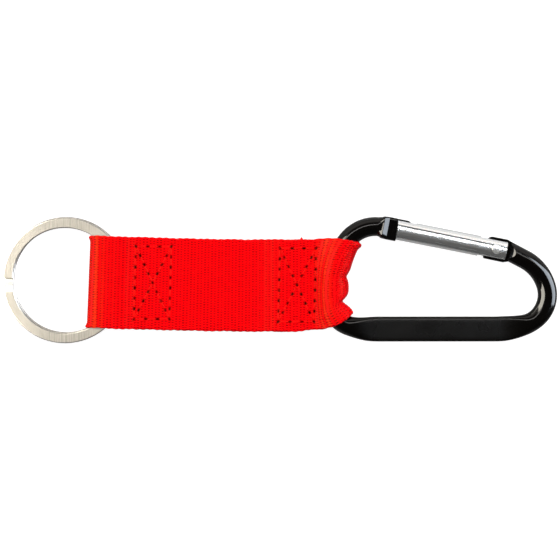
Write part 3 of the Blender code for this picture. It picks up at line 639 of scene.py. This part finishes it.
def carabiner_side(look, pits):
    """The strap from the split, round the frame and back to its end, and the tail inside it."""
    across = across_values()
    v = (across - across[0]) / (across[-1] - across[0])
    step = RIB / RIB_STEPS
    high = LOW_LAYER + LAYER_STEP

    def seam_height(x, low):
        raised = low + LAYER_STEP
        return eased(x, [(0, low), (53.8, low), (59.2, raised), (90, raised)], 1.2)

    def narrowed(profile):
        """Rows of points across the strap, drawn in to the seam's width as they near it."""
        rows = flat_rows(profile, across)
        narrow = smooth((profile[:, 0] - 62) / (SEAM_X - 62))[:, None]
        rows[:, :, 1] = (1 - narrow) * rows[:, :, 1] + narrow * (SEAM_LOW + SEAM_WIDTH * v[None, :])
        return rows

    xs = np.linspace(SPLIT_X, SEAM_X, 300)
    flat = np.stack([xs, seam_height(xs, high)], axis=1)
    steps = round((SEAM_X - SPLIT_X) / step)
    profile, _ = resample(flat, steps)
    rows_flat = narrowed(profile)
    rows_flat[:, -1, 1] += 0.75 * np.exp(-((profile[:, 0] - 64.6) / 0.3) ** 2)

    # Share of the way to the fold at which each thread of the cloth passes over the rod
    shares = np.linspace(0, 1, 80)
    grid_s, grid_v = np.meshgrid(shares, v, indexing="ij")
    plan = loop_plan(grid_s, grid_v)
    past = plan[:, :, 0] - rod_x(plan[:, :, 1])
    over = np.array([np.interp(0.0, past[:, k], shares) for k in range(len(v))])
    over = np.minimum(over, 0.9)

    rise_steps = 26
    arc_steps = 56
    reach = ROD_R + 0.3 + THICKNESS / 2
    rows_loop = []
    for share in np.linspace(0, 1, rise_steps + 1)[1:-1]:
        plan = loop_plan(share * over, v)
        start = high + LAYER_STEP
        rise = frame_height(plan[:, 0]) + reach - start
        rows_loop.append(np.column_stack([plan, start + rise * smooth(share)]))
    for angle in np.linspace(0, math.pi, arc_steps + 1):
        plan = loop_plan(over + (1 - over) * math.sin(angle), v)
        height = frame_height(plan[:, 0]) + reach * math.cos(angle)
        rows_loop.append(np.column_stack([plan, height]))
    for share in np.linspace(1, 0, rise_steps + 1)[1:-1]:
        plan = loop_plan(share * over, v)
        rise = frame_height(plan[:, 0]) - reach - LOW_LAYER
        rows_loop.append(np.column_stack([plan, LOW_LAYER + rise * smooth(share)]))
    rows_loop = np.array(rows_loop)

    back = np.linspace(SEAM_X, TAIL_X, round((SEAM_X - TAIL_X) / step) + 1)
    back_rows = narrowed(np.stack([back, np.full_like(back, LOW_LAYER)], axis=1))
    middle = np.concatenate([rows_flat, rows_loop, back_rows])
    gaps = np.linalg.norm(np.diff(middle[:, len(v) // 2], axis=0), axis=1)
    along = np.concatenate([[0], np.cumsum(gaps)]) - RIB / 2

    tail_xs = np.linspace(TAIL_START, SPLIT_X, 200)
    tail_path = np.stack([tail_xs, seam_height(tail_xs, LOW_LAYER)], axis=1)
    tail_profile, tail_length = resample(tail_path, round((TAIL_START - SPLIT_X) / step))
    tail_along = np.linspace(-tail_length, 0, len(tail_profile)) - RIB / 2
    sheets = [sheet(middle, along, across, pits), sheet(narrowed(tail_profile), tail_along, across)]
    thing = webbing_object("webbing_carabiner_side", sheets, look)
    return thing, along[-1] - along[0] + tail_length


# ---------------------------------------------------------------- stitching

def box_lines(left, right, low, high, lean=0.0):
    """The box and its cross as lists of stitch holes, in plan."""
    corners = [(left, low), (right, low), (right, high), (left, high)]
    runs = [(corners[k], corners[(k + 1) % 4]) for k in range(4)]
    runs += [(corners[0], corners[2]), (corners[3], corners[1])]
    stitches = []
    for (ax, ay), (bx, by) in runs:
        count = max(2, round(math.hypot(bx - ax, by - ay) / 2.9))
        for k in range(count):
            points = []
            for share in (k / count, (k + 1) / count):
                x = ax + (bx - ax) * share
                y = ay + (by - ay) * share
                points.append((x + lean * (y - (low + high) / 2), y))
            stitches.append(points)
    return stitches


def stitch_object(name, stitches, surface, look, up=1.0, radius=0.19):
    """Short lengths of thread lying on the cloth, each end pulled into its hole."""
    points = []
    faces = []
    sides = 8
    shares = np.linspace(0, 1, 11)
    for start, end in stitches:
        stations = []
        for share in shares:
            inset = 0.07 + 0.86 * share
            x = start[0] + (end[0] - start[0]) * inset
            y = start[1] + (end[1] - start[1]) * inset
            sink = 0.45 * (1 - smooth(min(share, 1 - share) / 0.25))
            stations.append(np.array([x, y, surface(x, y) + up * (0.12 - sink)]))
        run = np.array([end[0] - start[0], end[1] - start[1], 0.0])
        run /= np.linalg.norm(run)
        side = np.array([-run[1], run[0], 0.0])
        base = len(points)
        for share, station in zip(shares, stations):
            thick = radius * (0.75 + 0.25 * smooth(min(share, 1 - share) / 0.15))
            for k in range(sides):
                angle = 2 * math.pi * k / sides
                rise = np.array([0, 0, thick * 0.85 * math.sin(angle)])
                points.append(station + side * thick * math.cos(angle) + rise)
        tube = tube_faces(len(shares), sides)
        faces.extend(tuple(base + index for index in face) for face in tube)
    return outward(mesh_object(name, row(points), faces, look))


def surface_finder(thing, up):
    """Height of a piece's outer face at a point in plan, in millimetres."""
    bpy.context.view_layer.update()
    tree = BVHTree.FromObject(thing, bpy.context.evaluated_depsgraph_get())
    top = 0.05 if up > 0 else -0.05

    def height(x, y):
        place = row([x, y, 0.0])
        hit = tree.ray_cast(Vector((place[0], place[1], top)), Vector((0, 0, -up)))
        if hit[0] is None:
            return 2.0
        return hit[0].z / MM

    return height


# ---------------------------------------------------------------- hard pieces

def turned(degrees, axis):
    return Matrix.Rotation(math.radians(degrees), 4, axis)


def gate_matrix():
    """From the gate's own axes, with X from the pivot to the nose, to the row frame."""
    rest = Matrix.Translation(Vector(row([REST_X, 0, ROD_R]))) @ turned(TILT, "Y")
    place = Matrix.Translation(Vector(((PIVOT[0] - REST_X) * MM, PIVOT[1] * MM, 0)))
    return rest @ place @ turned(GATE_HEADING, "Z")


def superellipse(half_width, half_height, power, sides):
    angles = 2 * math.pi * (np.arange(sides) + 0.5) / sides
    cosine = np.cos(angles)
    sine = np.sin(angles)
    across = np.sign(cosine) * np.abs(cosine) ** (2 / power) * half_width
    up = np.sign(sine) * np.abs(sine) ** (2 / power) * half_height
    return across, up


def carve(thing, other, operation):
    """Boolean two closed meshes and keep the result as plain mesh."""
    modifier = thing.modifiers.new("carve", "BOOLEAN")
    modifier.operation = operation
    modifier.object = other
    modifier.solver = "EXACT"
    bpy.context.view_layer.update()
    depsgraph = bpy.context.evaluated_depsgraph_get()
    mesh = bpy.data.meshes.new_from_object(thing.evaluated_get(depsgraph))
    thing.modifiers.clear()
    thing.data = mesh
    bpy.data.objects.remove(other, do_unlink=True)


def prism(name, outline, low, high):
    """A plate from a plan outline between two heights."""
    count = len(outline)
    points = [(x, y, z) for z in (low, high) for x, y in outline]
    faces = [tuple(range(count - 1, -1, -1)), tuple(range(count, 2 * count))]
    faces += [(k, (k + 1) % count, count + (k + 1) % count, count + k) for k in range(count)]
    return outward(mesh_object(name, np.array(points) * MM, faces))


def cone(name, low, high, low_radius, high_radius, sides=64):
    angles = 2 * math.pi * np.arange(sides) / sides
    ends = ((low, low_radius), (high, high_radius))
    points = [(r * math.cos(a), r * math.sin(a), z) for z, r in ends for a in angles]
    return outward(mesh_object(name, np.array(points) * MM, tube_faces(2, sides)))


def arc(centre, radius, start, end, count):
    angles = np.radians(np.linspace(start, end, count))
    return [(centre[0] + radius * math.cos(a), centre[1] + radius * math.sin(a)) for a in angles]


def nose_size(travelled):
    """Half width, half height and squareness of the nose block, by distance from the nose's end."""
    knots = np.cumsum([0.0] + NOSE_PARTS[::-1] + [0.05, 0.85, 0.12])
    if travelled > knots[-1] - 0.01:
        return None
    widths = [3.08, 3.08, 3.08, 3.0, 3.0, 3.0, 2.72, 2.7, ROD_R]
    heights = [2.25, 2.25, 2.27, 2.86, 2.88, 2.88, 2.67, 2.67, ROD_R]
    powers = [9.0, 9.0, 9.0, 7.0, 7.0, 6.0, 5.0, 4.0, 2.0]
    return np.array([np.interp(travelled, knots, values) for values in (widths, heights, powers)])


def build_frame(look):
    """The carabiner's frame with its nose block, tongue, pressed spine, shoulder and tang."""
    sides = 64
    points = []
    travelled = 0.0
    before = None
    for point, heading in centreline(0.5):
        travelled += 0.0 if before is None else np.linalg.norm(point - before)
        before = point
        share = 0.0
        if point[1] < SPINE_Y + 6:
            share = float(smooth((point[0] - 76) / 9) * smooth((129 - point[0]) / 10))
        outside = heading - 90
        square = min(max((47 - outside) / 62, 0.0), 1.0) * min(max((outside + 75) / 40, 0.0), 1.0)
        if point[0] < SPINE_X[1]:
            square = 0.0
        power = 2.0 + max(4.0 * share, 1.2 * square)
        size = np.array([ROD_R + share * 0.8, ROD_R - share * 0.75, power])
        nose = nose_size(travelled)
        if nose is not None:
            size = nose
        across, up = superellipse(*size, sides)
        if square > 0:
            inner = superellipse(size[0], size[1], 2.0 + 4.0 * share, sides)
            across, up = np.where(across < 0, inner, (across, up))
        side = math.radians(heading - 90)
        for a, z in zip(across, up):
            points.append((point[0] + a * math.cos(side), point[1] + a * math.sin(side), z))
    faces = tube_faces(len(points) // sides, sides)
    frame_object = outward(mesh_object("carabiner_body", np.array(points) * MM, faces))
    pivot = Matrix.Translation(Vector((PIVOT[0] * MM, PIVOT[1] * MM, 0)))
    to_plan = pivot @ turned(GATE_HEADING, "Z")
    frame_object.data.transform(to_plan.inverted())

    gap = GATE_FRONT + 0.4
    trim = [(GATE_FRONT - 6, -6), (gap + 0.38, -6), (gap - 0.94, 6), (GATE_FRONT - 6, 6)]
    carve(frame_object, prism("nose_trim", trim, -4, 4), "DIFFERENCE")
    cones = (("shoulder_cut", 1.0, 3.6, 5.5), ("shoulder_rim", 2.3, 4.72, 6.57))
    for side in (1, -1):
        for name, low, low_radius, high_radius in cones:
            shoulder = cone(name, side * low, side * 3.2, low_radius, high_radius, 96)
            carve(frame_object, shoulder, "DIFFERENCE")
    spiral = []
    for angle in np.radians(np.linspace(-12, 48, 30)):
        radius = 3.0 + 1.36 * max(angle, 0.0)
        spiral.append((radius * math.cos(angle), radius * math.sin(angle)))
    tang = [(-5.2, 2.25), (-5.2, -2.25), (-2.6, -3.15)]
    tang += arc((1.4, -1.75), 1.4, -90, -25, 12) + spiral + [(-2.6, 3.15)]
    carve(frame_object, prism("tang", tang, -1.0, 1.0), "UNION")
    back = gap - 4.8
    tongue = [(gap + 0.6, -2.95), (gap + 0.6, 0.6), (back + 0.5, 0.6)]
    tongue += [(back, 0.0), (back, -2.05), (back + 1.6, -2.95)]
    carve(frame_object, prism("tongue", tongue, -0.8, 0.8), "UNION")
    carve(frame_object, cone("tang_hole", -4, 4, 1.1, 1.1, 32), "DIFFERENCE")
    frame_object.data.materials.clear()
    frame_object.data.materials.append(look)
    frame_object.data.shade_smooth()
    frame_object.data.set_sharp_from_angle(angle=math.radians(20))
    pressed = []
    for vertex in frame_object.data.vertices:
        place = to_plan @ vertex.co / MM
        ends = float(smooth((place.x - 78) / 7) * smooth((127 - place.x) / 9))
        pressed.append(ends if place.y < SPINE_Y + 4.5 and abs(vertex.normal.z) > 0.9 else 0.0)
    add_attribute(frame_object, "pressed", pressed)
    frame_object.data.transform(gate_matrix())
    return frame_object


def polish(mesh):
    """Shade the outside of a tube along X from its true round, and every cut face as flat."""
    normals = []
    for polygon in mesh.polygons:
        for index in polygon.vertices:
            place = mesh.vertices[index].co
            out = Vector((0, place.y, place.z))
            far = out.length > GATE_R * MM * 0.99
            out.normalize()
            on_tube = far and out.dot(polygon.normal) > 0.95
            normals.append(out if on_tube else polygon.normal.copy())
    mesh.normals_split_custom_set(normals)


def build_gate(look):
    """The gate sleeve: drawn tube, forked at the hinge and slotted at the nose."""
    sides = 96
    stations = []
    for x, r in [(-GATE_BACK, GATE_R), (GATE_FRONT, GATE_R), (GATE_FRONT + 1, GATE_R)]:
        for k in range(sides):
            angle = 2 * math.pi * k / sides
            stations.append((x, r * math.cos(angle), r * math.sin(angle)))
    gate = outward(mesh_object("gate_body", np.array(stations) * MM, tube_faces(3, sides)))
    corner = GATE_R - 0.8
    outline = arc((-GATE_BACK + 0.8, corner + 0.05), 0.8, 90, 180, 10)
    outline += arc((-GATE_BACK + 0.8, -corner - 0.05), 0.8, 180, 270, 10)
    outline += [(GATE_FRONT + 0.05, -GATE_R - 0.05), (GATE_FRONT - 0.33, GATE_R + 0.05)]
    carve(gate, prism("gate_plan", outline, -4, 4), "INTERSECT")
    fork = [(-4, -4), (4.75, -4), (4.75, 4), (-4, 4)]
    carve(gate, prism("fork_slot", fork, -1.35, 1.35), "DIFFERENCE")
    bore = cone("bore", 0, 15, 1.6, 1.6, 48)
    bore.matrix_world = Matrix.Translation((4 * MM, 0, 0)) @ turned(90, "Y")
    carve(gate, bore, "DIFFERENCE")
    back = GATE_FRONT - 5.3
    past = GATE_FRONT + 1
    slot = [(back, -4), (past, -4), (past, 1.2), (back, 1.2)]
    carve(gate, prism("nose_slot", slot, -1.1, 1.1), "DIFFERENCE")
    carve(gate, cone("rivet_hole", -4, 4, 1.1, 1.1, 32), "DIFFERENCE")
    for side in (1, -1):
        seat = cone("head_seat", side * 2.15, side * 4, RIVET_R + 0.03, RIVET_R + 0.03, 48)
        carve(gate, seat, "DIFFERENCE")
    gate.data.materials.clear()
    gate.data.materials.append(look)
    gate.matrix_world = gate_matrix()
    gate.data.shade_smooth()
    gate.data.set_sharp_from_angle(angle=math.radians(28))
    polish(gate.data)
    return gate


def build_rivet(look):
    """The rivet, its heads dressed to the tube's curve."""
    rim = [(radius, 0.0) for radius in (0.01, 0.3, 0.6, 0.9, 1.15)]
    rim += [(RIVET_R - 0.07, 0.02), (RIVET_R - 0.02, 0.07), (RIVET_R, 0.2), (RIVET_R, 0.5)]
    sides = 48
    points = []
    for side, profile in ((1, rim), (-1, rim[::-1])):
        for radius, drop in profile:
            for k in range(sides):
                angle = 2 * math.pi * k / sides
                x, y = radius * math.cos(angle), radius * math.sin(angle)
                height = max(math.sqrt(2.8 ** 2 - y * y) - drop, 2.2)
                points.append((x, y, side * height))
    faces = tube_faces(2 * len(rim), sides)
    rivet = outward(mesh_object("rivet_body", np.array(points) * MM, faces, look, 35))
    polish(rivet.data)
    rivet.matrix_world = gate_matrix()
    return rivet


def build_spring(look):
    """The gate's spring, copied from its CAD part and carried with the gate."""
    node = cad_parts["gate_spring"]
    points = np.array([node.matrix_world @ vertex.co for vertex in node.data.vertices])
    faces = [tuple(polygon.vertices) for polygon in node.data.polygons]
    spring = mesh_object("spring_coil", points, faces, look)
    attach(spring, "gate")
    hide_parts("gate_spring")
    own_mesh(spring)
    return spring


def build_ring(look):
    """The split ring as one wire of two coils with rounded edges, the lower a little off."""
    round_r = 0.24
    outer = RING_OUTER_R - round_r
    inner = RING_INNER_R + round_r
    high = COIL_HALF - round_r
    rounding = ((0, 0.05), (0, 0), (30, 0), (60, 0), (90, 0), (90, -0.05))
    places = ((outer, high, 90), (outer, -high, 0), (inner, -high, -90), (inner, high, -180))
    corners = []
    for cx, cz, start in places:
        for back, run in rounding:
            turn = math.radians(start - back)
            r = cx + round_r * math.cos(turn) - run * math.sin(turn)
            corners.append((r, cz + round_r * math.sin(turn) + run * math.cos(turn)))
    points = []
    count = 471
    for index in range(count):
        wound = RING_WOUND * index / (count - 1)
        angle = math.radians(RING_END - wound)
        fall = float(smooth((wound - 345) / 15))
        for radius, z in corners:
            points.append((
                radius * math.cos(angle) + 0.2 * fall,
                radius * math.sin(angle) + 0.3 * fall,
                z + COIL_PITCH * (0.5 - fall),
            ))
    faces = tube_faces(count, len(corners))
    ring = outward(mesh_object("ring_body", np.array(points) * MM, faces, look, 40))
    centre = Vector(row([0, 0, RING_PLANE]))
    ring.matrix_world = Matrix.Translation(centre) @ turned(-RING_TILT, "Y")
    return ring


# ---------------------------------------------------------------- studio

def softbox(name, from_zenith, azimuth, size, radiance, colour=(1, 1, 1), roll=0.0, distance=0.8):
    """A rectangular light aimed at the object; size is (across, up) as seen from it."""
    light = bpy.data.lights.new(name, "AREA")
    light.shape = "RECTANGLE"
    light.size, light.size_y = size
    light.energy = radiance * math.pi * size[0] * size[1]
    light.color = colour
    lamp = bpy.data.objects.new(name, light)
    bpy.context.scene.collection.objects.link(lamp)
    polar = math.radians(from_zenith)
    around = math.radians(azimuth)
    level = math.sin(polar)
    direction = Vector((level * math.cos(around), level * math.sin(around), math.cos(polar)))
    lamp.location = direction * distance
    aim = direction.to_track_quat("Z", "Y").to_matrix() @ turned(roll, "Z").to_3x3()
    lamp.rotation_euler = aim.to_euler()
    lamp.visible_camera = False
    return lamp


def build_studio():
    floor_look, s = material("floor_white")
    haze = s.noise(s.node("ShaderNodeTexCoord").outputs["Object"], 3.0, 2.0)
    seen = s.node("ShaderNodeLightPath").outputs["Is Camera Ray"]
    place = s.separate(s.node("ShaderNodeTexCoord").outputs["Object"])
    # For rays other than the camera's the floor glows faintly, and brighter in a patch behind the
    # gate: painted light that the metal reflects, though the floor is no lamp.
    behind = s.math("MULTIPLY_ADD", place[0], 0.196, s.math("SUBTRACT", place[1], 0.020))
    glow = s.range(behind, 0.003, 0.012, 0.08, 0.6)
    s.surface(
        Base_Color=s.mix(haze, (0.28, 0.28, 0.28, 1), (0.32, 0.32, 0.32, 1)),
        Roughness=1.0,
        Specular_IOR_Level=0.0,
        Emission_Color=(1, 1, 1, 1),
        Emission_Strength=s.math("MAXIMUM", s.math("MULTIPLY", seen, 0.92), glow),
    )
    size = 3.0
    corners = [(-size, -size, 0), (size, -size, 0), (size, size, 0), (-size, size, 0)]
    floor = mesh_object("floor", corners, [(0, 1, 2, 3)], floor_look)

    world = bpy.data.worlds.new("studio")
    bpy.context.scene.world = world
    s = Shader(world)
    direction = s.separate(s.node("ShaderNodeTexCoord").outputs["Generated"])
    share = s.range(direction[2], 0.12, 0.75, smooth_ends=True)
    side = s.range(direction[1], -0.3, 0.5, smooth_ends=True)
    low = s.mix(side, (0.1, 0.1, 0.1, 1), (0.75, 0.7, 0.66, 1))
    around = s.mix(share, low, (0.06, 0.057, 0.054, 1))
    seen = s.node("ShaderNodeLightPath").outputs["Is Camera Ray"]
    background = s.tree.nodes["Background"]
    s.put(s.mix(seen, around, (0.86, 0.86, 0.86, 1)), background.inputs["Color"])
    background.inputs["Strength"].default_value = 1.0

    softbox("strip_top", 23, 90, (1.1, 0.07), 12, (1.0, 0.97, 0.93))
    softbox("bank_top", 66, 90, (1.4, 0.45), 0.8, (1.0, 0.93, 0.86))
    right = softbox("bank_right", 61, 12, (0.62, 0.74), 22, (0.82, 0.9, 1.0), -14)
    left = softbox("card_left", 56, 170, (0.8, 0.72), 24, (1.0, 0.94, 0.82))
    for lamp in (right, left):
        lamp.visible_diffuse = False
    fill = softbox("fill", 8, 60, (0.9, 0.9), 1.88)
    fill_left = softbox("fill_left", 62, 180, (0.8, 0.8), 0.6, (1.0, 0.95, 0.9))
    for lamp in (fill, fill_left):
        lamp.visible_glossy = False

    camera = bpy.data.cameras.new("camera")
    camera.lens = 150
    camera.sensor_width = 36
    eye = bpy.data.objects.new("camera", camera)
    eye.location = (0.0001, 0.0, 0.6375 + 0.003)
    bpy.context.scene.collection.objects.link(eye)
    bpy.context.scene.camera = eye
    bpy.context.scene.view_settings.view_transform = "Standard"


# ---------------------------------------------------------------- the object

cloth = webbing_material()
thread = thread_material()
black = frame_material()

ring_stitches = box_lines(19.2, 28.8, -10.5, 9.3, math.tan(STRAP_LEAN))
carabiner_stitches = box_lines(58.5, 68.3, -11.2, 8.8, 0.03)


def holes(stitches):
    """Each needle hole with the direction of its stitch."""
    found = {}
    for (ax, ay), (bx, by) in stitches:
        length = math.hypot(bx - ax, by - ay)
        for x, y in ((ax, ay), (bx, by)):
            found[round(x, 2), round(y, 2)] = ((bx - ax) / length, (by - ay) / length)
    return [(*place, *run) for place, run in sorted(found.items())]


ring_web, ring_length = ring_side(cloth, holes(ring_stitches))
hook_web, hook_length = carabiner_side(cloth, holes(carabiner_stitches))

for name, stitches, web, body in (
    ("ring_end", ring_stitches, ring_web, "strap_ring_end"),
    ("carabiner_end", carabiner_stitches, hook_web, "carabiner"),
):
    for kind, up in (("needle", 1.0), ("bobbin", -1.0)):
        surface = surface_finder(web, up)
        piece = stitch_object(f"{name}_{kind}_stitches", stitches, surface, thread, up)
        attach(piece, body)
        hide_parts(f"{name}_{kind}_thread")

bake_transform(ring_web)
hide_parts("webbing_ring_end", "webbing_middle")
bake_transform(hook_web)
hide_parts("webbing_carabiner_end")

body = build_frame(black)
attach(body, "carabiner")
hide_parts("carabiner_frame")
gate = build_gate(gate_material())
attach(gate, "gate")
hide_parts("gate_sleeve")
rivet = build_rivet(steel_material("rivet_steel", (0.9, 0.9, 0.89, 1), 0.3))
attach(rivet, "carabiner")
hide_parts("hinge_rivet")
ring = build_ring(ring_material())
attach(ring, "ring")
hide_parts("split_ring")
spring = build_spring(steel_material("spring_steel", (0.62, 0.62, 0.63, 1), 0.3))
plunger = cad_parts["spring_plunger"]
plunger.data.materials.clear()
plunger.data.materials.append(steel_material("plunger_steel", (0.68, 0.68, 0.68, 1), 0.3))

build_studio()
